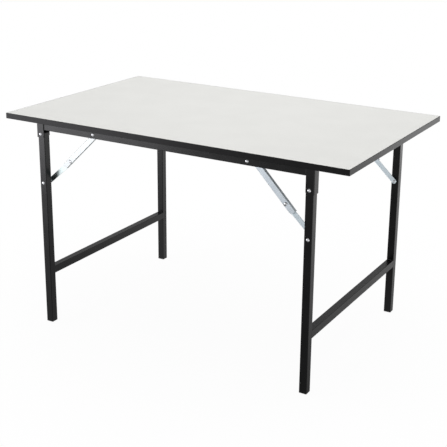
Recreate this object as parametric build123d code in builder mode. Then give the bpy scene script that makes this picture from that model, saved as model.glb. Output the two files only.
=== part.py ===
from build123d import *
import math
import os

# A multipurpose table: a faced board on two steel rails, with two leg frames that fold up under it.
# X runs along the length, Y from front to rear and Z up. The origin lies on the floor under the
# middle of the top. Every length is in millimetres and every angle in degrees.

# Overall sizes
table_length = 1270.0
table_depth = 770.0
table_height = 750.0

# Tabletop: a wood board between a white laminate and a backing sheet, with a black band round it
core_thickness = 17.6
laminate_thickness = 0.8
backing_thickness = 0.6
band_thickness = 2.0
band_edge_radius = 0.8

# Square steel tube of the rails, cross rails, legs and stretchers
rail_size = 27.0
tube_wall = 1.5
tube_corner_radius = 2.0
tube_inner_corner_share = 0.4
rail_inset = 21.0
cross_rail_to_bolt = 53.42

# Leg frames
leg_end_inset = 119.5
leg_side_play = 0.35
stretcher_ground_height = 180.0
rail_to_leg_gap = 1.0
leg_to_leg_gap = 2.5

# Plastic foot caps
foot_sole = 4.0
foot_edge_radius = 1.2
foot_plug_height = 14.0
foot_plug_play = 0.1

# Pivot brackets, bent from sheet into a channel that is open towards the middle of the table
bracket_sheet = 2.5
bracket_bend_radius = 1.0
bracket_setback = 1.0
bracket_drop = 12.0
bracket_corner_radius = 7.0

# Folding stays: two arms each, with a riveted elbow that locks just past the straight line
upper_arm_reach = 170.0
lower_arm_reach = 127.0
upper_arm_tail = 36.0
upper_arm_tail_radius = 6.0
elbow_past_straight = 4.0
stay_sheet = 2.0
stay_bend_radius = 0.4
stay_lip_depth = 10.5
stay_flange_depth = 5.0
stay_flange_to_end = 8.0
stay_lip_head_room = 1.2
stay_stop_gap = 0.1
stay_standoff = 3.0
stay_slide_gap = 0.2
stay_seat_gap = 0.1

# Bolts, rivets, nuts and washers of the stays and pivots
shank_radius = 3.0
bolt_head_radius = 5.6
bolt_head_height = 3.4
bolt_rim_share = 0.25
bolt_end_reach = 1.0
hole_play = 0.05
nut_corner_radius = 5.7
nut_height = 4.5
nut_collar_radius = 4.4
nut_collar_height = 1.3
washer_radius = 6.5
rivet_head_radius = 5.0
rivet_head_height = 1.8
rivet_shoulder_radius = 4.6
eyelet_radius = 1.7
open_pivot_gap = 0.3

# Screws that hold the board on the rails from below
screw_place_shares = (-0.36, -0.12, 0.12, 0.36)
screw_radius = 2.2
screw_depth = 12.0
screw_head_radius = 4.5
screw_head_height = 2.4
driver_hole_radius = 6.5

# One overrun for every cut
cut_overrun = 1.0

# Levels and lines worked out from the sizes above
top_thickness = core_thickness + laminate_thickness + backing_thickness
top_underside = table_height - top_thickness
core_underside = top_underside + backing_thickness
core_topside = core_underside + core_thickness
core_length = table_length - 2 * band_thickness
core_depth = table_depth - 2 * band_thickness
rail_level = top_underside - rail_size / 2
rail_underside = top_underside - rail_size
rail_line = table_depth / 2 - rail_inset - rail_size / 2
rail_inner_face = rail_line - rail_size / 2
rail_outer_face = rail_line + rail_size / 2
leg_size = rail_size - 2 * leg_side_play
leg_line = table_length / 2 - leg_end_inset - leg_size / 2
leg_inner_face = rail_line - leg_size / 2
leg_outer_face = rail_line + leg_size / 2
web_inner_line = leg_line + leg_size / 2 + leg_side_play
rail_length = 2 * (web_inner_line - bracket_bend_radius)
stretcher_level = stretcher_ground_height + leg_size / 2
hole_radius = shank_radius + hole_play

# The left frame folds up against the rails, and the right one folds up under the left one
left_pivot_level = rail_underside - rail_to_leg_gap - leg_size / 2
right_pivot_level = left_pivot_level - leg_size - leg_to_leg_gap

# Layers of a stay, as depths inward from the inner face of the rail
upper_arm_depth = stay_standoff
lower_arm_depth = stay_standoff + stay_flange_depth + stay_slide_gap

# The lip of the upper arm stops the lower arm when the elbow is past the straight line
elbow_bend = math.asin(elbow_past_straight / upper_arm_reach)
elbow_bend += math.asin(elbow_past_straight / lower_arm_reach)
lip_outer_offset = rail_size / 2 - stay_lip_head_room
lip_inner_offset = lip_outer_offset - stay_sheet
stop_offset = lip_inner_offset - stay_stop_gap
arm_half_width = (stop_offset - upper_arm_tail * math.tan(elbow_bend)) * math.cos(elbow_bend)
arm_end = upper_arm_reach + upper_arm_tail
lip_start = lip_outer_offset - arm_half_width
flange_end = arm_end - stay_flange_to_end
bend_width = stay_sheet + stay_bend_radius

SIDES = (("left", -1), ("right", 1))
ROWS = (("front", -1), ("rear", 1))
PIVOT_LEVELS = {-1: left_pivot_level, 1: right_pivot_level}


def save(builder, node):
    """Label a finished piece with its node name and write it out."""
    builder.part.label = node
    export_step(builder.part, f"parts/{node}.step")


def stay_distances(pivot_level):
    """Distances of the rail bolt and the leg bolt from the pivot.

    The stay is straight but for its elbow when the leg stands, and its upper arm lies level
    along the rail when the leg is folded.
    """
    rise = rail_level - pivot_level
    span = math.sqrt(upper_arm_reach**2 - elbow_past_straight**2)
    span += math.sqrt(lower_arm_reach**2 - elbow_past_straight**2)
    folded_run = math.sqrt(lower_arm_reach**2 - rise**2) - upper_arm_reach
    skew = rise + folded_run
    along_rail = (math.sqrt(2 * span**2 - skew**2) - skew) / 2
    return along_rail, along_rail + folded_run


def stay_points(side):
    """Rail bolt, elbow and leg bolt of a stay at rest, as (x, z)."""
    pivot_level = PIVOT_LEVELS[side]
    along_rail, down_leg = stay_distances(pivot_level)
    slope = math.atan2(rail_level - pivot_level + down_leg, along_rail)
    slope += math.asin(elbow_past_straight / upper_arm_reach)
    rail_bolt = (side * (leg_line - along_rail), rail_level)
    elbow_x = rail_bolt[0] + side * upper_arm_reach * math.cos(slope)
    elbow_z = rail_level - upper_arm_reach * math.sin(slope)
    leg_bolt = (side * leg_line, pivot_level - down_leg)
    return rail_bolt, (elbow_x, elbow_z), leg_bolt


def stay_plane(start, end, row, depth):
    """Plane of a stay's layer: its x runs from start to end, and its normal points inward."""
    run = Vector(end[0] - start[0], 0, end[1] - start[1])
    origin = (start[0], row * (rail_inner_face - depth), start[1])
    return Plane(origin=origin, x_dir=run, z_dir=(0, -row, 0))


def turning_plane(x, y, z, row):
    """Plane through a fastener's axis: its x is the radius, and its y points inward."""
    return Plane(origin=(x, y, z), x_dir=(1, 0, 0), z_dir=(0, 0, -row))


def tube_section(size):
    """Square tube section, drawn where the open sketch stands."""
    bore = size - 2 * tube_wall
    RectangleRounded(size, size, tube_corner_radius)
    RectangleRounded(bore, bore, tube_corner_radius * tube_inner_corner_share, mode=Mode.SUBTRACT)


def cut_across(row, points, radius):
    """Drill round holes front to rear through the tube or channel on one rail line."""
    with BuildSketch(Plane.XZ.offset(-row * rail_line)) as holes:
        with Locations(*points):
            Circle(radius)
    reach = rail_size / 2 + bracket_sheet + cut_overrun
    extrude(holes.sketch, amount=reach, both=True, mode=Mode.SUBTRACT)


def screw_points(row):
    """Places of the board's screws along one rail."""
    return [(share * rail_length, row * rail_line) for share in screw_place_shares]


def board_sheet(level, thickness, hole_depth=0.0):
    """One layer of the tabletop, with screw holes cut from below where it has them."""
    with BuildPart() as sheet:
        with BuildSketch(Plane.XY.offset(level)):
            Rectangle(core_length, core_depth)
        extrude(amount=thickness)
        if hole_depth:
            with BuildSketch(Plane.XY.offset(level)):
                for _, row in ROWS:
                    with Locations(*screw_points(row)):
                        Circle(screw_radius + hole_play)
            extrude(amount=hole_depth, mode=Mode.SUBTRACT)
    return sheet


def long_band(row):
    """Edge band on the front or rear, which also covers the ends of the side bands."""
    with BuildPart() as band:
        with BuildSketch(Plane.XY.offset(top_underside)):
            with Locations((0, row * (core_depth + band_thickness) / 2)):
                Rectangle(table_length, band_thickness)
        extrude(amount=top_thickness)
        glued, ends, outside = band.edges().group_by(Axis.Y)[::row]
        fillet(ends + outside, band_edge_radius)
    return band


def side_band(side):
    """Edge band on the left or right end."""
    with BuildPart() as band:
        with BuildSketch(Plane.XY.offset(top_underside)):
            with Locations((side * (core_length + band_thickness) / 2, 0)):
                Rectangle(band_thickness, core_depth)
        extrude(amount=top_thickness)
        outside = band.edges().filter_by(Axis.Y).group_by(Axis.X)[::side][-1]
        fillet(outside, band_edge_radius)
    return band


def rail(row):
    """Long rail under the front or rear edge, drilled for the stays' bolts and the board's screws."""
    with BuildPart() as tube:
        with BuildSketch(Plane.YZ.offset(-rail_length / 2)):
            with Locations((row * rail_line, rail_level)):
                tube_section(rail_size)
        extrude(amount=rail_length)
        cut_across(row, [stay_points(side)[0] for _, side in SIDES], hole_radius)
        with BuildSketch(Plane.XY.offset(top_underside)):
            with Locations(*screw_points(row)):
                Circle(screw_radius + hole_play)
        extrude(amount=-rail_size / 2, mode=Mode.SUBTRACT)
        with BuildSketch(Plane.XY.offset(rail_underside)):
            with Locations(*screw_points(row)):
                Circle(driver_hole_radius)
        extrude(amount=rail_size / 2, mode=Mode.SUBTRACT)
    return tube


def cross_rail(side):
    """Short tube between the two rails, on the middle's side of the stays' rail bolts."""
    nearest_bolt = min(abs(stay_points(each)[0][0]) for _, each in SIDES)
    with BuildPart() as tube:
        with BuildSketch(Plane.XZ):
            with Locations((side * (nearest_bolt - cross_rail_to_bolt), rail_level)):
                tube_section(rail_size)
        extrude(amount=rail_inner_face, both=True)
    return tube


def board_screws():
    """Pan head screws that stand on the inside of the rails' upper wall."""
    head_level = top_underside - tube_wall
    head_end = -screw_head_height
    tip = tube_wall + screw_depth
    with BuildPart() as screws:
        for _, row in ROWS:
            for x, y in screw_points(row):
                with BuildSketch(Plane(origin=(x, y, head_level), x_dir=(1, 0, 0), z_dir=(0, -1, 0))):
                    with BuildLine():
                        Line((0, head_end), (screw_radius, head_end))
                        TangentArc((screw_radius, head_end), (screw_head_radius, 0), tangent=(1, 0))
                        Line((screw_head_radius, 0), (screw_radius, 0))
                        Line((screw_radius, 0), (screw_radius, tip - screw_radius))
                        Line((screw_radius, tip - screw_radius), (0, tip))
                        Line((0, tip), (0, head_end))
                    make_face()
                revolve(axis=Axis((x, y, head_level), (0, 0, 1)))
    return screws


def pivot_bracket(side, row):
    """Channel that is welded round the end of a rail and holds the top of a leg."""
    pivot_level = PIVOT_LEVELS[side]
    bottom = pivot_level - bracket_drop
    open_end = leg_line - leg_size / 2 + bracket_setback
    outside = web_inner_line + bracket_sheet
    length = outside - open_end
    with BuildPart() as bracket:
        with BuildSketch(Plane.XY.offset(bottom)):
            with Locations((side * (outside - length / 2), row * rail_line)):
                Rectangle(length, rail_size + 2 * bracket_sheet)
            with Locations((side * (web_inner_line - length / 2), row * rail_line)):
                Rectangle(length, rail_size, mode=Mode.SUBTRACT)
        extrude(amount=top_underside - bottom)
        inner_bends, outer_bends = bracket.edges().filter_by(Axis.Z).group_by(Axis.X)[::side][1:]
        fillet(inner_bends, bracket_bend_radius)
        fillet(outer_bends, bracket_bend_radius + bracket_sheet)
        low_edges = bracket.edges().filter_by(Axis.Y).group_by(Axis.Z)[0]
        fillet(low_edges.group_by(Axis.X)[::side][0], bracket_corner_radius)
        cut_across(row, [(side * leg_line, pivot_level)], hole_radius)
    return bracket


def leg(side, row):
    """Leg tube, with its top rounded about the pivot so that it turns inside the bracket."""
    pivot_level = PIVOT_LEVELS[side]
    with BuildPart() as tube:
        with BuildSketch(Plane.XY.offset(foot_sole)):
            with Locations((side * leg_line, row * rail_line)):
                tube_section(leg_size)
        extrude(amount=pivot_level + leg_size / 2 - foot_sole)
        with BuildSketch(Plane.XZ.offset(-row * rail_line)):
            with Locations((side * leg_line, pivot_level + leg_size / 2)):
                Rectangle(leg_size + 2 * cut_overrun, leg_size)
            with Locations((side * leg_line, pivot_level)):
                Circle(leg_size / 2, mode=Mode.SUBTRACT)
        extrude(amount=leg_size, both=True, mode=Mode.SUBTRACT)
        cut_across(row, [(side * leg_line, pivot_level), stay_points(side)[2]], hole_radius)
    return tube


def stretcher(side):
    """Low tube that ties the front leg to the rear leg."""
    with BuildPart() as tube:
        with BuildSketch(Plane.XZ):
            with Locations((side * leg_line, stretcher_level)):
                tube_section(leg_size)
        extrude(amount=leg_inner_face, both=True)
    return tube


def foot_cap(side, row):
    """Plastic sole with a plug that fits inside the leg."""
    plug = leg_size - 2 * tube_wall - 2 * foot_plug_play
    with BuildPart() as cap:
        with BuildSketch(Plane.XY):
            with Locations((side * leg_line, row * rail_line)):
                RectangleRounded(leg_size, leg_size, tube_corner_radius)
        extrude(amount=foot_sole)
        fillet(cap.edges().group_by(Axis.Z)[0], foot_edge_radius)
        with BuildSketch(Plane.XY.offset(foot_sole)):
            with Locations((side * leg_line, row * rail_line)):
                RectangleRounded(plug, plug, tube_corner_radius * tube_inner_corner_share)
        extrude(amount=foot_plug_height)
    return cap


def dome_bolt(x, face, z, row, length):
    """Bolt with a domed head on the outer face, and its shank running inward."""
    rim = bolt_head_height * bolt_rim_share
    y = row * face
    with BuildSketch(turning_plane(x, y, z, row)) as profile:
        with BuildLine():
            TangentArc((0, -bolt_head_height), (bolt_head_radius, -rim), tangent=(1, 0))
            Line((bolt_head_radius, -rim), (bolt_head_radius, 0))
            Line((bolt_head_radius, 0), (shank_radius, 0))
            Line((shank_radius, 0), (shank_radius, length))
            Line((shank_radius, length), (0, length))
            Line((0, length), (0, -bolt_head_height))
        make_face()
    revolve(profile.sketch, axis=Axis((x, y, z), (0, -row, 0)))


def lock_nut(x, face, z, row):
    """Hexagon nut with a round collar, seated on a face that points inward."""
    seat = Plane(origin=(x, row * face, z), x_dir=(1, 0, 0), z_dir=(0, -row, 0))
    with BuildSketch(seat) as hexagon:
        RegularPolygon(nut_corner_radius, 6)
        Circle(hole_radius, mode=Mode.SUBTRACT)
    extrude(hexagon.sketch, amount=nut_height)
    with BuildSketch(seat.offset(nut_height)) as collar:
        Circle(nut_collar_radius)
        Circle(hole_radius, mode=Mode.SUBTRACT)
    extrude(collar.sketch, amount=nut_collar_height)


def ring(x, face, z, row, thickness):
    """Plain washer or spacer, seated on a face that points inward."""
    with BuildSketch(Plane(origin=(x, row * face, z), x_dir=(1, 0, 0), z_dir=(0, -row, 0))) as washer:
        Circle(washer_radius)
        Circle(hole_radius, mode=Mode.SUBTRACT)
    extrude(washer.sketch, amount=thickness)


def pivot_bolt(side, row):
    """Bolt that a leg turns on, through the bracket and the leg."""
    face = rail_outer_face + bracket_sheet
    length = rail_size + 2 * bracket_sheet + nut_height + nut_collar_height + bolt_end_reach
    with BuildPart() as bolt:
        dome_bolt(side * leg_line, face, PIVOT_LEVELS[side], row, length)
    return bolt


def pivot_nuts(side):
    """Nuts of the two pivot bolts of one leg frame."""
    with BuildPart() as nuts:
        for _, row in ROWS:
            lock_nut(side * leg_line, rail_inner_face - bracket_sheet, PIVOT_LEVELS[side], row)
    return nuts


def rail_bolts(side):
    """Bolts that the upper arms turn on, through the rails."""
    x, z = stay_points(side)[0]
    arm_seat = stay_standoff + stay_sheet + stay_seat_gap
    length = rail_size + arm_seat + nut_height + nut_collar_height + bolt_end_reach
    with BuildPart() as bolts:
        for _, row in ROWS:
            dome_bolt(x, rail_outer_face, z, row, length)
    return bolts


def rail_nuts(side):
    """Nuts that keep the upper arms on their bolts."""
    x, z = stay_points(side)[0]
    with BuildPart() as nuts:
        for _, row in ROWS:
            lock_nut(x, rail_inner_face - stay_standoff - stay_sheet - stay_seat_gap, z, row)
    return nuts


def rail_washers(side):
    """Washers that hold the upper arms clear of the rails and the brackets."""
    x, z = stay_points(side)[0]
    with BuildPart() as washers:
        for _, row in ROWS:
            ring(x, rail_inner_face, z, row, stay_standoff - stay_seat_gap)
    return washers


def leg_spacer_length():
    """Length of the spacer between a leg and the plane of the lower arm."""
    return leg_inner_face - rail_inner_face + lower_arm_depth - open_pivot_gap


def leg_bolts(side):
    """Bolts through the legs at the lower ends of the stays."""
    x, z = stay_points(side)[2]
    with BuildPart() as bolts:
        for _, row in ROWS:
            dome_bolt(x, leg_outer_face, z, row, leg_size + leg_spacer_length())
    return bolts


def leg_spacers(side):
    """Spacers that bring the leg bolts out to the lower arms."""
    x, z = stay_points(side)[2]
    with BuildPart() as spacers:
        for _, row in ROWS:
            ring(x, leg_inner_face, z, row, leg_spacer_length())
    return spacers


def upper_arm(side, row):
    """Arm from the rail to the elbow, a channel whose deeper side is a lip that stops the lower arm."""
    start, elbow, _ = stay_points(side)
    flat = stay_plane(start, elbow, row, upper_arm_depth)
    lip_sign = side * row
    section_origin = flat.from_local_coords((lip_start, 0, 0))
    section = Plane(origin=section_origin, x_dir=flat.y_dir * lip_sign, z_dir=flat.x_dir)
    end_origin = flat.from_local_coords((flange_end, 0, 0))
    middle = arm_end / 2
    lip_outside = flat.from_local_coords((middle, lip_sign * lip_outer_offset, 0))
    lip_inside = flat.from_local_coords((middle, lip_sign * lip_inner_offset, stay_sheet))
    flange_outside = flat.from_local_coords((middle, -lip_sign * arm_half_width, 0))
    flange_inside = flat.from_local_coords((middle, lip_sign * (stay_sheet - arm_half_width), stay_sheet))
    low_side = -lip_sign * arm_half_width
    low_edge = -lip_sign * (arm_half_width - bend_width)
    high_edge = lip_sign * (lip_outer_offset - bend_width)
    tail_corner = flat.from_local_coords((arm_end, low_edge, stay_sheet / 2))
    with BuildPart() as arm:
        with BuildSketch(section):
            with BuildLine():
                Polyline(
                    (-arm_half_width, 0),
                    (-arm_half_width, lip_sign * stay_flange_depth),
                    (stay_sheet - arm_half_width, lip_sign * stay_flange_depth),
                    (stay_sheet - arm_half_width, lip_sign * stay_sheet),
                    (lip_inner_offset, lip_sign * stay_sheet),
                    (lip_inner_offset, lip_sign * stay_lip_depth),
                    (lip_outer_offset, lip_sign * stay_lip_depth),
                    (lip_outer_offset, 0),
                    close=True,
                )
            make_face()
        extrude(amount=arm_end - lip_start)
        for inside in (lip_inside, flange_inside):
            fillet(arm.edges().sort_by_distance(inside)[0], stay_bend_radius)
        for outside in (lip_outside, flange_outside):
            fillet(arm.edges().sort_by_distance(outside)[0], bend_width)
        with BuildSketch(Plane(origin=end_origin, x_dir=section.x_dir, z_dir=section.z_dir)):
            with Locations((-arm_half_width + bend_width / 2, lip_sign * stay_flange_depth / 2)):
                Rectangle(bend_width, stay_flange_depth)
        extrude(amount=stay_flange_to_end, mode=Mode.SUBTRACT)
        fillet(arm.edges().sort_by_distance(tail_corner)[0], upper_arm_tail_radius)
        with BuildSketch(flat):
            with BuildLine():
                Line((lip_start, low_edge), (0, low_side))
                ThreePointArc((0, low_side), (-arm_half_width, 0), (0, -low_side))
                Line((0, -low_side), (lip_start, high_edge))
                Line((lip_start, high_edge), (lip_start, low_edge))
            make_face()
        extrude(amount=stay_sheet)
        with BuildSketch(flat):
            with Locations((0, 0), (upper_arm_reach, 0)):
                Circle(hole_radius)
        extrude(amount=stay_sheet, mode=Mode.SUBTRACT)
    return arm


def lower_arm(side, row):
    """Flat arm with round ends, from the elbow to the leg."""
    _, elbow, end = stay_points(side)
    flat = stay_plane(elbow, end, row, lower_arm_depth)
    with BuildPart() as arm:
        with BuildSketch(flat):
            with Locations((lower_arm_reach / 2, 0)):
                SlotCenterToCenter(lower_arm_reach, 2 * arm_half_width)
            with Locations((0, 0), (lower_arm_reach, 0)):
                Circle(hole_radius, mode=Mode.SUBTRACT)
        extrude(amount=stay_sheet)
    return arm


def elbow_rivet(side, row):
    """Shouldered rivet of the elbow, with a domed head on each side of the two arms."""
    x, z = stay_points(side)[1]
    y = row * (rail_inner_face - upper_arm_depth)
    arm_spacing = lower_arm_depth - upper_arm_depth
    grip = arm_spacing + stay_sheet + stay_seat_gap
    shoulder_start = stay_sheet + stay_seat_gap
    shoulder_end = arm_spacing - stay_seat_gap
    with BuildPart() as rivet:
        with BuildSketch(turning_plane(x, y, z, row)):
            with BuildLine():
                TangentArc((0, -rivet_head_height), (rivet_head_radius, 0), tangent=(1, 0))
                Line((rivet_head_radius, 0), (shank_radius, 0))
                Line((shank_radius, 0), (shank_radius, shoulder_start))
                Line((shank_radius, shoulder_start), (rivet_shoulder_radius, shoulder_start))
                Line((rivet_shoulder_radius, shoulder_start), (rivet_shoulder_radius, shoulder_end))
                Line((rivet_shoulder_radius, shoulder_end), (shank_radius, shoulder_end))
                Line((shank_radius, shoulder_end), (shank_radius, grip))
                Line((shank_radius, grip), (rivet_head_radius, grip))
                TangentArc((0, grip + rivet_head_height), (rivet_head_radius, grip), tangent=(1, 0))
                Line((0, grip + rivet_head_height), (0, -rivet_head_height))
            make_face()
        revolve(axis=Axis((x, y, z), (0, -row, 0)))
    return rivet


def end_rivet(side, row):
    """Hollow rivet in the lower end of a stay, flush on the side of the leg."""
    x, z = stay_points(side)[2]
    y = row * (rail_inner_face - lower_arm_depth)
    crown = stay_sheet + rivet_head_height
    with BuildPart() as rivet:
        with BuildSketch(turning_plane(x, y, z, row)):
            with BuildLine():
                Line((eyelet_radius, 0), (shank_radius, 0))
                Line((shank_radius, 0), (shank_radius, stay_sheet))
                Line((shank_radius, stay_sheet), (rivet_head_radius, stay_sheet))
                TangentArc((eyelet_radius, crown), (rivet_head_radius, stay_sheet), tangent=(1, 0))
                Line((eyelet_radius, crown), (eyelet_radius, 0))
            make_face()
        revolve(axis=Axis((x, y, z), (0, -row, 0)))
    return rivet


os.makedirs("parts", exist_ok=True)

save(board_sheet(core_underside, core_thickness, screw_depth), "core_board")
save(board_sheet(core_topside, laminate_thickness), "top_laminate")
save(board_sheet(top_underside, backing_thickness, backing_thickness), "backing_sheet")
save(board_screws(), "board_screws")

for row_name, row in ROWS:
    save(long_band(row), f"edge_band_{row_name}")
    save(rail(row), f"rail_{row_name}")

for side_name, side in SIDES:
    save(side_band(side), f"edge_band_{side_name}")
    save(cross_rail(side), f"cross_rail_{side_name}")
    save(stretcher(side), f"stretcher_{side_name}")
    save(pivot_nuts(side), f"pivot_nuts_{side_name}")
    save(rail_bolts(side), f"rail_bolts_{side_name}")
    save(rail_nuts(side), f"rail_nuts_{side_name}")
    save(rail_washers(side), f"rail_washers_{side_name}")
    save(leg_bolts(side), f"leg_bolts_{side_name}")
    save(leg_spacers(side), f"leg_spacers_{side_name}")
    for row_name, row in ROWS:
        corner = f"{side_name}_{row_name}"
        save(pivot_bracket(side, row), f"bracket_{corner}")
        save(pivot_bolt(side, row), f"pivot_bolt_{corner}")
        save(leg(side, row), f"leg_{corner}")
        save(foot_cap(side, row), f"foot_cap_{corner}")
        save(upper_arm(side, row), f"upper_arm_{corner}")
        save(lower_arm(side, row), f"lower_arm_{corner}")
        save(elbow_rivet(side, row), f"elbow_rivet_{corner}")
        save(end_rivet(side, row), f"end_rivet_{corner}")
    print(side_name, "pivot", round(side * leg_line, 2), round(PIVOT_LEVELS[side], 2))
    print(side_name, "stay", [(round(x, 2), round(z, 2)) for x, z in stay_points(side)])
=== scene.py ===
import math

import bmesh
import bpy
from mathutils import Matrix, Vector


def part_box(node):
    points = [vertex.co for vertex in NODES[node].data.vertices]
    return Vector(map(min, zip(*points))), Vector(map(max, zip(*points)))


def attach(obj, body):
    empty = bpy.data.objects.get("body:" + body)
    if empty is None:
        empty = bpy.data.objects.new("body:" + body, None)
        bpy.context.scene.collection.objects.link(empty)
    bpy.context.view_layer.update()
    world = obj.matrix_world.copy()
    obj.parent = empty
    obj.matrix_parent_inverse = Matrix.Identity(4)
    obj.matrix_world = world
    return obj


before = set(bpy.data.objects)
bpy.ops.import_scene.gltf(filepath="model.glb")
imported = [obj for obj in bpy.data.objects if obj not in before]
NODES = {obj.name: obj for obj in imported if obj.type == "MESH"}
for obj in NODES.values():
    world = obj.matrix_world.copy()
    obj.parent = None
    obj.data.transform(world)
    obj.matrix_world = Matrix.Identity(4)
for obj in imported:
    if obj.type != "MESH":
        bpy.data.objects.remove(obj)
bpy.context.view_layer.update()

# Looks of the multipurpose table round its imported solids, in metres, radians and linear colours

SIDES = (("left", -1), ("right", 1))
ROWS = (("front", -1), ("rear", 1))

# Steps of a material


def new_material(name, color, rough, metallic=0.0, specular=0.5):
    """A principled material, with its tree and its shader."""
    mat = bpy.data.materials.new(name)
    mat.use_nodes = True
    tree = mat.node_tree
    bsdf = tree.nodes["Principled BSDF"]
    bsdf.inputs["Base Color"].default_value = (*color, 1.0)
    bsdf.inputs["Roughness"].default_value = rough
    bsdf.inputs["Metallic"].default_value = metallic
    bsdf.inputs["Specular IOR Level"].default_value = specular
    return mat, tree, bsdf


def object_coords(tree, stretch=(1.0, 1.0, 1.0)):
    """Coordinates that are fixed to the piece, stretched along an axis where asked."""
    coords = tree.nodes.new("ShaderNodeTexCoord")
    mapping = tree.nodes.new("ShaderNodeMapping")
    mapping.inputs["Scale"].default_value = stretch
    tree.links.new(coords.outputs["Object"], mapping.inputs["Vector"])
    return mapping.outputs["Vector"]


def local_coords(tree, vector, location, rotation, scale):
    """Coordinates in a frame that is placed, turned and scaled."""
    mapping = tree.nodes.new("ShaderNodeMapping")
    mapping.vector_type = "TEXTURE"
    mapping.inputs["Location"].default_value = location
    mapping.inputs["Rotation"].default_value = rotation
    mapping.inputs["Scale"].default_value = scale
    tree.links.new(vector, mapping.inputs["Vector"])
    return mapping.outputs["Vector"]


def length_of(tree, vector):
    """Length of a vector."""
    node = tree.nodes.new("ShaderNodeVectorMath")
    node.operation = "LENGTH"
    tree.links.new(vector, node.inputs[0])
    return node.outputs["Value"]


def height_of(tree, vector):
    """Z of a vector."""
    node = tree.nodes.new("ShaderNodeSeparateXYZ")
    tree.links.new(vector, node.inputs["Vector"])
    return node.outputs["Z"]


def combine(tree, operation, first, second):
    """Result of a sum on two values."""
    node = tree.nodes.new("ShaderNodeMath")
    node.operation = operation
    tree.links.new(first, node.inputs[0])
    tree.links.new(second, node.inputs[1])
    return node.outputs[0]


def noise(tree, vector, scale, detail=2.0, rough=0.5):
    """Fractal noise; scale is in cells per metre."""
    node = tree.nodes.new("ShaderNodeTexNoise")
    node.inputs["Scale"].default_value = scale
    node.inputs["Detail"].default_value = detail
    node.inputs["Roughness"].default_value = rough
    tree.links.new(vector, node.inputs["Vector"])
    return node.outputs["Fac"]


def spread(tree, value, low, high, start=0.3, end=0.7):
    """Map the stretch from start to end to the range from low to high."""
    node = tree.nodes.new("ShaderNodeMapRange")
    node.inputs["From Min"].default_value = start
    node.inputs["From Max"].default_value = end
    node.inputs["To Min"].default_value = low
    node.inputs["To Max"].default_value = high
    tree.links.new(value, node.inputs["Value"])
    return node.outputs["Result"]


def clouded(tree, bsdf, value, dark, light):
    """Let the base colour vary between two tones."""
    node = tree.nodes.new("ShaderNodeValToRGB")
    first, last = node.color_ramp.elements
    first.position, last.position = 0.35, 0.65
    first.color, last.color = (*dark, 1.0), (*light, 1.0)
    tree.links.new(value, node.inputs["Fac"])
    tree.links.new(node.outputs["Color"], bsdf.inputs["Base Color"])


def uneven(tree, bsdf, value, rough, less, more):
    """Let the roughness vary round its value."""
    tree.links.new(spread(tree, value, rough - less, rough + more), bsdf.inputs["Roughness"])


def covered(tree, bsdf, color, share):
    """Lay a colour over the base colour by a share."""
    node = tree.nodes.new("ShaderNodeMix")
    node.data_type = "RGBA"
    node.inputs["B"].default_value = (*color, 1.0)
    tree.links.new(share, node.inputs["Factor"])
    tree.links.new(bsdf.inputs["Base Color"].links[0].from_socket, node.inputs["A"])
    tree.links.new(node.outputs["Result"], bsdf.inputs["Base Color"])


def bump(tree, bsdf, value, strength, distance, under=None):
    """Add a bump layer, over another one where given."""
    node = tree.nodes.new("ShaderNodeBump")
    node.inputs["Strength"].default_value = strength
    node.inputs["Distance"].default_value = distance
    tree.links.new(value, node.inputs["Height"])
    if under is not None:
        tree.links.new(under, node.inputs["Normal"])
    tree.links.new(node.outputs["Normal"], bsdf.inputs["Normal"])
    return node.outputs["Normal"]


# Kinds of material


def laminate(name, dark, light, rough):
    """Pearl-textured matte laminate."""
    mat, tree, bsdf = new_material(name, light, rough, specular=0.4)
    at = object_coords(tree)
    clouded(tree, bsdf, noise(tree, at, scale=9.0, detail=3.0), dark, light)
    grain = noise(tree, at, scale=900.0, detail=3.0, rough=0.6)
    uneven(tree, bsdf, grain, rough, less=0.05, more=0.06)
    bump(tree, bsdf, grain, strength=0.25, distance=0.00008)
    return mat


def fibreboard(name, dark, light):
    """Pressed wood fibres, for the inner board."""
    mat, tree, bsdf = new_material(name, light, rough=0.85, specular=0.2)
    chips = noise(tree, object_coords(tree), scale=260.0, detail=5.0, rough=0.7)
    clouded(tree, bsdf, chips, dark, light)
    bump(tree, bsdf, chips, strength=0.5, distance=0.0002)
    return mat


def powder_coat(name, color, rough):
    """Satin powder coat, with the fine orange peel that such a coat has."""
    mat, tree, bsdf = new_material(name, color, rough, specular=0.35)
    at = object_coords(tree)
    cloud = noise(tree, at, scale=14.0, detail=3.0)
    clouded(tree, bsdf, cloud, color, tuple(c * COAT_LIGHTER for c in color))
    uneven(tree, bsdf, cloud, rough, less=0.04, more=0.05)
    peel = noise(tree, at, scale=420.0, detail=1.5, rough=0.4)
    fine = noise(tree, at, scale=1700.0, detail=2.0, rough=0.6)
    under = bump(tree, bsdf, peel, strength=0.35, distance=0.00012)
    bump(tree, bsdf, fine, strength=0.18, distance=0.00004, under=under)
    return mat


def rolled_grain(tree, bsdf, at, along):
    """Fine grain of rolled sheet, which runs along an arm."""
    turned = local_coords(tree, at, (0.0, 0.0, 0.0), (0.0, along, 0.0), (1.0, 1.0, 1.0))
    squeezed = tree.nodes.new("ShaderNodeMapping")
    squeezed.inputs["Scale"].default_value = (GRAIN_SQUEEZE, 1.0, 1.0)
    tree.links.new(turned, squeezed.inputs["Vector"])
    grain = noise(tree, squeezed.outputs["Vector"], scale=1100.0)
    return bump(tree, bsdf, grain, strength=0.10, distance=0.00002)


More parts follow.
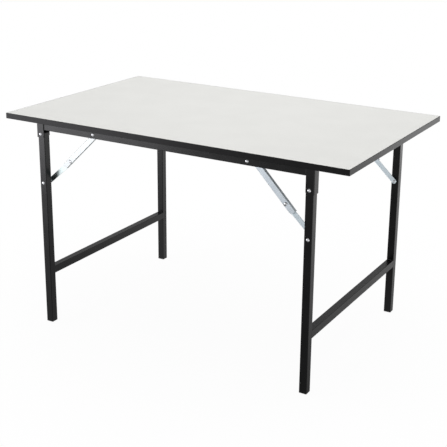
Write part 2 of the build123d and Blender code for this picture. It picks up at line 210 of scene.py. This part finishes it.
def zinc(name, dark, light, rough, along=None):
    """Bright zinc plate with faint clouds and spangle, over the sheet's grain where it has one."""
    mat, tree, bsdf = new_material(name, light, rough, metallic=1.0)
    at = object_coords(tree)
    cloud = noise(tree, at, scale=38.0, detail=3.0)
    clouded(tree, bsdf, cloud, dark, light)
    uneven(tree, bsdf, cloud, rough, less=0.03, more=0.04)
    under = None if along is None else rolled_grain(tree, bsdf, at, along)
    spangle = noise(tree, at, scale=260.0, detail=1.0)
    bump(tree, bsdf, spangle, strength=0.05, distance=0.00005, under=under)
    return mat


def paint_rivet_shade(mat, along, rivet, most):
    """Paint a dark ring across the arm round a rivet's head: painted shade that stands in for the dark rim
    of a larger domed head.
    """
    tree = mat.node_tree
    local = local_coords(tree, object_coords(tree), rivet, (0.0, along, 0.0), RIVET_SHADE_SHAPE)
    share = spread(tree, length_of(tree, local), most, 0.0, *RIVET_SHADE_FADE)
    covered(tree, tree.nodes["Principled BSDF"], RIVET_SHADE_COLOR, share)
    return mat


def moulded(name, color, rough, specular):
    """Moulded matte plastic with a spark-eroded grain."""
    mat, tree, bsdf = new_material(name, color, rough, specular=specular)
    at = object_coords(tree)
    light = tuple(c * PLASTIC_LIGHTER for c in color)
    clouded(tree, bsdf, noise(tree, at, scale=60.0), color, light)
    grain = noise(tree, at, scale=1400.0, detail=4.0, rough=0.7)
    uneven(tree, bsdf, grain, rough, less=0.06, more=0.06)
    bump(tree, bsdf, grain, strength=0.35, distance=0.00006)
    return mat


def trodden(mat):
    """Add dust and scuffs on the lowest few millimetres."""
    tree = mat.node_tree
    low = spread(tree, height_of(tree, object_coords(tree)), DUST_SHARE, 0.0, *DUST_FADE)
    speckle = noise(tree, object_coords(tree, DUST_STRETCH), scale=330.0, detail=4.0, rough=0.65)
    patches = spread(tree, speckle, 0.0, 1.0, start=0.42, end=0.66)
    share = combine(tree, "MULTIPLY", low, patches)
    covered(tree, tree.nodes["Principled BSDF"], DUST_COLOR, share)
    return mat


# Finishes of the pieces. A fade runs from full strength to none, as distances in metres

COAT_LIGHTER = 1.25
PLASTIC_LIGHTER = 1.4
GRAIN_SQUEEZE = 0.02
# Painted shade round the elbow rivets: its colour, the ring's shape and its fade
RIVET_SHADE_COLOR = (0.03, 0.03, 0.033)
RIVET_SHADE_SHAPE = (0.66, 1000.0, 1.0)
RIVET_SHADE_FADE = (0.0072, 0.0088)
DUST_COLOR = (0.085, 0.079, 0.070)
DUST_SHARE = 0.75
DUST_FADE = (0.0005, 0.007)
DUST_STRETCH = (1.0, 1.0, 3.0)

WHITE = laminate("white_laminate", (0.772, 0.772, 0.747), (0.790, 0.790, 0.765), rough=0.45)
BACKING = laminate("backing_laminate", (0.33, 0.33, 0.32), (0.37, 0.37, 0.36), rough=0.6)
BOARD = fibreboard("board_wood", (0.36, 0.26, 0.16), (0.55, 0.43, 0.29))
EDGE = moulded("black_edge", (0.0046, 0.0046, 0.0050), rough=0.32, specular=0.20)
STEEL = powder_coat("black_steel", (0.0032, 0.0032, 0.0037), rough=0.26)
PLASTIC = trodden(moulded("black_plastic", (0.007, 0.007, 0.007), rough=0.5, specular=0.3))
NYLON = moulded("nylon_ring", (0.42, 0.50, 0.62), rough=0.42, specular=0.4)
BOLT = zinc("fastener_zinc", (0.70, 0.71, 0.73), (0.82, 0.83, 0.85), rough=0.20)
WASHER = zinc("washer_zinc", (0.60, 0.63, 0.66), (0.74, 0.76, 0.80), rough=0.32)
SCREW = zinc("screw_zinc", (0.62, 0.62, 0.60), (0.76, 0.76, 0.74), rough=0.30)

# What a node's name starts with, and its finish; what is left is black steel
FINISHES = (
    ("top_laminate", WHITE),
    ("backing_sheet", BACKING),
    ("core_board", BOARD),
    ("board_screws", SCREW),
    ("edge_band", EDGE),
    ("foot_cap", PLASTIC),
    ("rail_washers", WASHER),
    ("leg_spacers", WASHER),
    ("pivot_bolt", BOLT),
    ("pivot_nuts", BOLT),
    ("rail_bolts", BOLT),
    ("rail_nuts", BOLT),
    ("leg_bolts", BOLT),
    ("elbow", BOLT),
    ("end_rivet", BOLT),
)

# The stays' arms: two tones and the roughness for each side. The tones differ from side to side as painted
# light and shade, set to how light falls on each side, over the plating's own bluish tint
UPPER_ARM_LIT_TONES = {
    "left": ((0.645, 0.675, 0.68), (0.69, 0.72, 0.725), 0.5),
    "right": ((0.750, 0.820, 0.875), (0.800, 0.865, 0.915), 0.5),
}
LOWER_ARM_LIT_TONES = {
    "left": ((0.50, 0.575, 0.57), (0.54, 0.615, 0.61), 0.28),
    "right": ((0.800, 0.900, 0.955), (0.835, 0.925, 0.975), 0.50),
}
# Strength of the painted shade round the elbow rivet, side by side
RIVET_SHADE_SHARES = {"left": 0.35, "right": 0.92}


def slope_of(node):
    """Angle of a stay's arm about Y, from its box."""
    low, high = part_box(node)
    side = 1 if low.x > 0 else -1
    return math.atan2(high.z - low.z, high.x - low.x) * side


def middle_of(node):
    """Middle of a node's box."""
    low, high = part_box(node)
    return (low + high) / 2


def finish_of(node):
    """Material of a node."""
    if node.startswith(("upper_arm", "lower_arm")):
        kind, side_name = node.split("_arm_")[0], node.split("_")[2]
        # The tones of each side hold painted light and shade
        tones = (UPPER_ARM_LIT_TONES if kind == "upper" else LOWER_ARM_LIT_TONES)[side_name]
        mat = zinc(f"stay_zinc_{node}", *tones, along=slope_of(node))
        if kind == "upper":
            # Painted shade round the elbow rivet of an upper arm
            rivet = middle_of(node.replace("upper_arm", "elbow_rivet"))
            paint_rivet_shade(mat, slope_of(node), rivet, RIVET_SHADE_SHARES[side_name])
        return mat
    return next((mat for start, mat in FINISHES if node.startswith(start)), STEEL)


for node in NODES:
    slots = NODES[node].data.materials
    slots.clear()
    slots.append(finish_of(node))

# Weld beads

RIPPLE = 0.0023
RIPPLE_LEAN = 0.0011
RIPPLE_SHARE = 0.10
DRIFT_SHARE = 0.05
DRIFT_TURN = 482.3
DRIFT_START = 40.0
SEAM_RIPPLE = 2.2
BEAD_STEP = 0.0004
BEAD_LEAST_STEPS = 8
BEAD_POINTS = 9
BEAD_END = 0.35
BEAD_END_POWER = 9
FILLET_POWER = 1.5
SUNK = 0.00015
FILLET = 0.0034
BRACKET_FILLET = 0.0026
SEAM = 0.0050
SEAM_RISE = 0.0005
CORNER = 0.0022
BRACKET_TOP_GAP = 0.0008


def section_spot(share, first, second, width, height, swell, ripple, corner):
    """Place on a bead's section: a hollow fillet between two faces, or a low ridge."""
    arch = math.sin(math.pi * share)
    size = width * (BEAD_END + (1 - BEAD_END) * swell)
    if corner:
        turn = math.pi / 2 * share
        size *= 1 + ripple * arch
        near, far = (max(0.0, reach) ** FILLET_POWER * size for reach in (math.cos(turn), math.sin(turn)))
        return first * (near - SUNK) + second * (far - SUNK)
    rise = height * arch * swell * (1 + ripple * SEAM_RIPPLE) - SUNK
    return first * (math.cos(math.pi * share) * size / 2) + second * rise


def loft(bm, rings, closed):
    """Join rings of points with faces, round to the first ring or with a cap at each end."""
    count = len(rings[0])
    pairs = list(zip(rings, rings[1:] + rings[:1])) if closed else list(zip(rings, rings[1:]))
    for near, far in pairs:
        for k in range(count):
            after = (k + 1) % count
            bm.faces.new((near[k], near[after], far[after], far[k]))
    if not closed:
        bm.faces.new(rings[0])
        bm.faces.new(list(reversed(rings[-1])))


def bead(bm, start, end, first, second, width, height=0.0):
    """Rippled weld bead: a fillet between two directions, or a low ridge where it has a height."""
    start, end, first, second = Vector(start), Vector(end), Vector(first), Vector(second)
    run = end - start
    along = run.normalized()
    steps = max(BEAD_LEAST_STEPS, int(run.length / BEAD_STEP))
    rings = []
    for i in range(steps + 1):
        share = i / steps
        swell = max(0.0, 1.0 - abs(2 * share - 1) ** BEAD_END_POWER) ** 0.5
        ring = []
        for k in range(BEAD_POINTS):
            part = k / (BEAD_POINTS - 1)
            at = share * run.length + RIPPLE_LEAN * math.sin(math.pi * part)
            ripple = RIPPLE_SHARE * math.sin(2 * math.pi * at / RIPPLE)
            ripple += DRIFT_SHARE * math.sin(DRIFT_TURN * at + DRIFT_START * start.x)
            spot = section_spot(part, first, second, width, height, swell, ripple, height == 0)
            ring.append(bm.verts.new(start + along * (share * run.length) + spot))
        rings.append(ring)
    loft(bm, rings, closed=False)


def finish_piece(name, bm, material, body):
    """Turn built faces into a smooth piece that rides on a body."""
    bmesh.ops.recalc_face_normals(bm, faces=bm.faces)
    mesh = bpy.data.meshes.new(name)
    bm.to_mesh(mesh)
    bm.free()
    for face in mesh.polygons:
        face.use_smooth = True
    obj = bpy.data.objects.new(name, mesh)
    bpy.context.scene.collection.objects.link(obj)
    obj.data.materials.append(material)
    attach(obj, body)


def frame_welds(side_name):
    """Beads round both ends of a stretcher, where it meets the legs."""
    low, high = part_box(f"stretcher_{side_name}")
    bm = bmesh.new()
    for _, row in ROWS:
        y = row * high.y
        for z, up in ((high.z, 1), (low.z, -1)):
            bead(bm, (low.x + CORNER, y, z), (high.x - CORNER, y, z), (0, -row, 0), (0, 0, up), FILLET)
        for x, out in ((low.x, -1), (high.x, 1)):
            ends = (x, y, low.z + CORNER), (x, y, high.z - CORNER)
            bead(bm, *ends, (0, 1, 0), (out, 0, 0), SEAM, SEAM_RISE)
    finish_piece(f"frame_welds_{side_name}", bm, STEEL, f"{side_name}_leg_frame")


def cross_rail_beads(bm, side_name):
    """Beads round both ends of a cross rail, but for its upper side under the board."""
    low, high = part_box(f"cross_rail_{side_name}")
    for _, row in ROWS:
        y = row * high.y
        for x, out in ((low.x, -1), (high.x, 1)):
            ends = (x, y, low.z + CORNER), (x, y, high.z - CORNER)
            bead(bm, *ends, (0, -row, 0), (out, 0, 0), FILLET)
        ends = (low.x + CORNER, y, low.z), (high.x - CORNER, y, low.z)
        bead(bm, *ends, (0, 1, 0), (0, 0, -1), SEAM, SEAM_RISE)


def bracket_beads(bm, side_name, side):
    """Upright beads on both faces of the rails, along the edges of the pivot brackets."""
    for row_name, _ in ROWS:
        low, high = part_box(f"bracket_{side_name}_{row_name}")
        rail_low, rail_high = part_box(f"rail_{row_name}")
        edge = low.x if side > 0 else high.x
        for y, out in ((rail_low.y, -1), (rail_high.y, 1)):
            ends = (edge, y, rail_low.z + CORNER), (edge, y, rail_high.z - BRACKET_TOP_GAP)
            bead(bm, *ends, (-side, 0, 0), (0, out, 0), BRACKET_FILLET)


for side_name, _ in SIDES:
    frame_welds(side_name)

bm = bmesh.new()
for side_name, side in SIDES:
    cross_rail_beads(bm, side_name)
    bracket_beads(bm, side_name, side)
finish_piece("rail_welds", bm, STEEL, "tabletop")

# Nylon rings of the lock nuts

RING_OUTER = 0.0039
RING_INNER = 0.00302
RING_RISE = 0.00028
RING_POWER = 0.6
RING_STEPS = 40
RING_POINTS = 9
COLLAR_REACH = 0.0058


def nut_ring(bm, centre, row):
    """Nylon ring in the collar of a lock nut, round the bolt's end."""
    profile = []
    for k in range(RING_POINTS):
        turn = math.pi * k / (RING_POINTS - 1)
        radius = (RING_OUTER + RING_INNER) / 2 + math.cos(turn) * (RING_OUTER - RING_INNER) / 2
        inside = 0 < k < RING_POINTS - 1
        profile.append((radius, RING_RISE * math.sin(turn) ** RING_POWER if inside else -SUNK))
    rings = []
    for i in range(RING_STEPS):
        turn = 2 * math.pi * i / RING_STEPS
        ring = []
        for radius, rise in profile:
            place = Vector((math.cos(turn) * radius, -row * rise, math.sin(turn) * radius))
            ring.append(bm.verts.new(centre + place))
        rings.append(ring)
    loft(bm, rings, closed=True)


bm = bmesh.new()
for side_name, _ in SIDES:
    for kind in ("pivot", "rail"):
        low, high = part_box(f"{kind}_nuts_{side_name}")
        for _, row in ROWS:
            centre = Vector(((low.x + high.x) / 2, row * (high.y - COLLAR_REACH), (low.z + high.z) / 2))
            nut_ring(bm, centre, row)
finish_piece("nut_rings", bm, NYLON, "tabletop")

# Floor and background: what lights the object, what the camera sees, and a painted shadow patch near the
# table that only reflections see

FLOOR_REACH = 9.0
FLOOR_DROP = 0.0005
FLOOR_ROUGH = 0.8
FLOOR_SPECULAR = 0.1
FLOOR_LIT = 0.55
FLOOR_SEEN = 0.90
GLOW_NEAR = 0.96
GLOW_FADE = (0.6, 1.3)
# Painted shadow of the table in the floor's glow, seen only in reflections: its place, turn, size, dimmest
# level and fade
SHADE_PATCH_PLACE = (0.0, -1.3, 0.0)
SHADE_PATCH_TURN = (0.0, 0.0, math.radians(-14.0))
SHADE_PATCH_SIZE = (1.03, 2.2, 1.0)
SHADE_PATCH_LEVEL = 0.24
SHADE_PATCH_FADE = (0.5, 1.4)
SKY_LIGHT = 0.5
SKY_LEVEL = 0.45
SKY_FADE = (0.0, 0.3)
PURE_WHITE = (1.0, 1.0, 1.0, 1.0)


def white_rays(tree):
    """The camera's rays, and all that see the white background, with those in metal and glass."""
    path = tree.nodes.new("ShaderNodeLightPath")
    camera_ray = path.outputs["Is Camera Ray"]
    seen = combine(tree, "MAXIMUM", camera_ray, path.outputs["Is Glossy Ray"])
    return camera_ray, combine(tree, "MAXIMUM", seen, path.outputs["Is Transmission Ray"])


def floor_material():
    """Pale floor: white but for the object's faint shadow; in reflections it glows, with a painted shadow
    patch near the table.
    """
    mat, tree, bsdf = new_material("pale_floor", (FLOOR_LIT,) * 3, FLOOR_ROUGH, specular=FLOOR_SPECULAR)
    camera_ray, seen = white_rays(tree)
    tone = tree.nodes.new("ShaderNodeMix")
    tone.data_type = "RGBA"
    tone.inputs["A"].default_value = (FLOOR_LIT, FLOOR_LIT, FLOOR_LIT, 1.0)
    tone.inputs["B"].default_value = (FLOOR_SEEN, FLOOR_SEEN, FLOOR_SEEN, 1.0)
    tree.links.new(camera_ray, tone.inputs["Factor"])
    tree.links.new(tone.outputs["Result"], bsdf.inputs["Base Color"])
    at = object_coords(tree)
    shade_patch = length_of(tree, local_coords(tree, at, SHADE_PATCH_PLACE, SHADE_PATCH_TURN, SHADE_PATCH_SIZE))
    glow = tree.nodes.new("ShaderNodeEmission")
    glow.inputs["Color"].default_value = PURE_WHITE
    # The glow dims in the painted shadow patch for every ray but the camera's
    level = combine(tree, "MAXIMUM", camera_ray, spread(tree, shade_patch, SHADE_PATCH_LEVEL, 1.0, *SHADE_PATCH_FADE))
    tree.links.new(level, glow.inputs["Strength"])
    share = spread(tree, length_of(tree, at), GLOW_NEAR, 1.0, *GLOW_FADE)
    mix = tree.nodes.new("ShaderNodeMixShader")
    tree.links.new(combine(tree, "MULTIPLY", seen, share), mix.inputs["Fac"])
    tree.links.new(bsdf.outputs["BSDF"], mix.inputs[1])
    tree.links.new(glow.outputs["Emission"], mix.inputs[2])
    tree.links.new(mix.outputs["Shader"], tree.nodes["Material Output"].inputs["Surface"])
    return mat


def lay_floor():
    """Flat floor just under the feet."""
    mesh = bpy.data.meshes.new("floor")
    signs = (-1, -1), (1, -1), (1, 1), (-1, 1)
    corners = [(x * FLOOR_REACH, y * FLOOR_REACH, -FLOOR_DROP) for x, y in signs]
    mesh.from_pydata(corners, [], [(0, 1, 2, 3)])
    obj = bpy.data.objects.new("floor", mesh)
    bpy.context.scene.collection.objects.link(obj)
    obj.data.materials.append(floor_material())


def white_world():
    """White behind the object, dimmer as a light, and dimmer overhead in reflections."""
    world = bpy.data.worlds.new("studio")
    bpy.context.scene.world = world
    world.use_nodes = True
    tree = world.node_tree
    lit = tree.nodes["Background"]
    lit.inputs["Color"].default_value = PURE_WHITE
    lit.inputs["Strength"].default_value = SKY_LIGHT
    shown = tree.nodes.new("ShaderNodeBackground")
    shown.inputs["Color"].default_value = PURE_WHITE
    camera_ray, seen = white_rays(tree)
    coords = tree.nodes.new("ShaderNodeTexCoord")
    above = spread(tree, height_of(tree, coords.outputs["Generated"]), 1.0, SKY_LEVEL, *SKY_FADE)
    tree.links.new(combine(tree, "MAXIMUM", camera_ray, above), shown.inputs["Strength"])
    mix = tree.nodes.new("ShaderNodeMixShader")
    tree.links.new(seen, mix.inputs["Fac"])
    tree.links.new(lit.outputs["Background"], mix.inputs[1])
    tree.links.new(shown.outputs["Background"], mix.inputs[2])
    tree.links.new(mix.outputs["Shader"], tree.nodes["World Output"].inputs["Surface"])


lay_floor()
white_world()

# Lights


def softbox(name, place, target, width, height, power, color=(1.0, 1.0, 1.0)):
    """Rectangular soft light that looks at a point; power is in watts."""
    data = bpy.data.lights.new(name, "AREA")
    data.color = color
    data.shape = "RECTANGLE"
    data.size = width
    data.size_y = height
    data.energy = power
    lamp = bpy.data.objects.new(name, data)
    bpy.context.scene.collection.objects.link(lamp)
    lamp.visible_camera = False
    lamp.location = place
    lamp.rotation_mode = "QUATERNION"
    lamp.rotation_quaternion = (Vector(target) - Vector(place)).to_track_quat("-Z", "Y")


softbox("key_overhead", place=(0.0, 0.35, 3.2), target=(0.0, 0.05, 0.4), width=3.6, height=3.2, power=55)
softbox(
    "panel_left_front",
    place=(-1.88, -1.60, 0.5),
    target=(-0.4, -0.2, 0.4),
    width=1.92,
    height=0.95,
    power=15.5,
    color=(0.965, 0.95, 1.0),
)
softbox(
    "panel_back_right",
    place=(1.35, 2.3, 0.16),
    target=(0.5, 0.4, 0.4),
    width=1.4,
    height=0.3,
    power=1.2,
)

# Camera, fitted to the photo: its place and turns, and in pixels its focal length and image centre

FRAME_PX = 447
FOCAL_PX = 989.33
CENTRE_PX = (250.0, 178.0)
SENSOR_MM = 36.0
YAW, PITCH, ROLL = 0.50615, 0.29770, -0.01660
CAMERA_PLACE = (1.67721, -2.84107, 1.53590)


def photo_camera():
    """The photo's camera."""
    forward = Vector((-math.sin(YAW) * math.cos(PITCH), math.cos(YAW) * math.cos(PITCH), -math.sin(PITCH)))
    level = Vector((math.cos(YAW), math.sin(YAW), 0.0))
    down = forward.cross(level)
    right = math.cos(ROLL) * level + math.sin(ROLL) * down
    low = -math.sin(ROLL) * level + math.cos(ROLL) * down
    data = bpy.data.cameras.new("photo_camera")
    data.sensor_fit = "HORIZONTAL"
    data.sensor_width = SENSOR_MM
    data.lens = FOCAL_PX * SENSOR_MM / FRAME_PX
    data.shift_x = -(CENTRE_PX[0] - FRAME_PX / 2) / FRAME_PX
    data.shift_y = (CENTRE_PX[1] - FRAME_PX / 2) / FRAME_PX
    camera = bpy.data.objects.new("photo_camera", data)
    bpy.context.scene.collection.objects.link(camera)
    axes = Matrix((right, -low, -forward)).transposed().to_4x4()
    camera.matrix_world = Matrix.Translation(CAMERA_PLACE) @ axes
    return camera


bpy.context.scene.camera = photo_camera()
bpy.context.scene.view_settings.view_transform = "Standard"
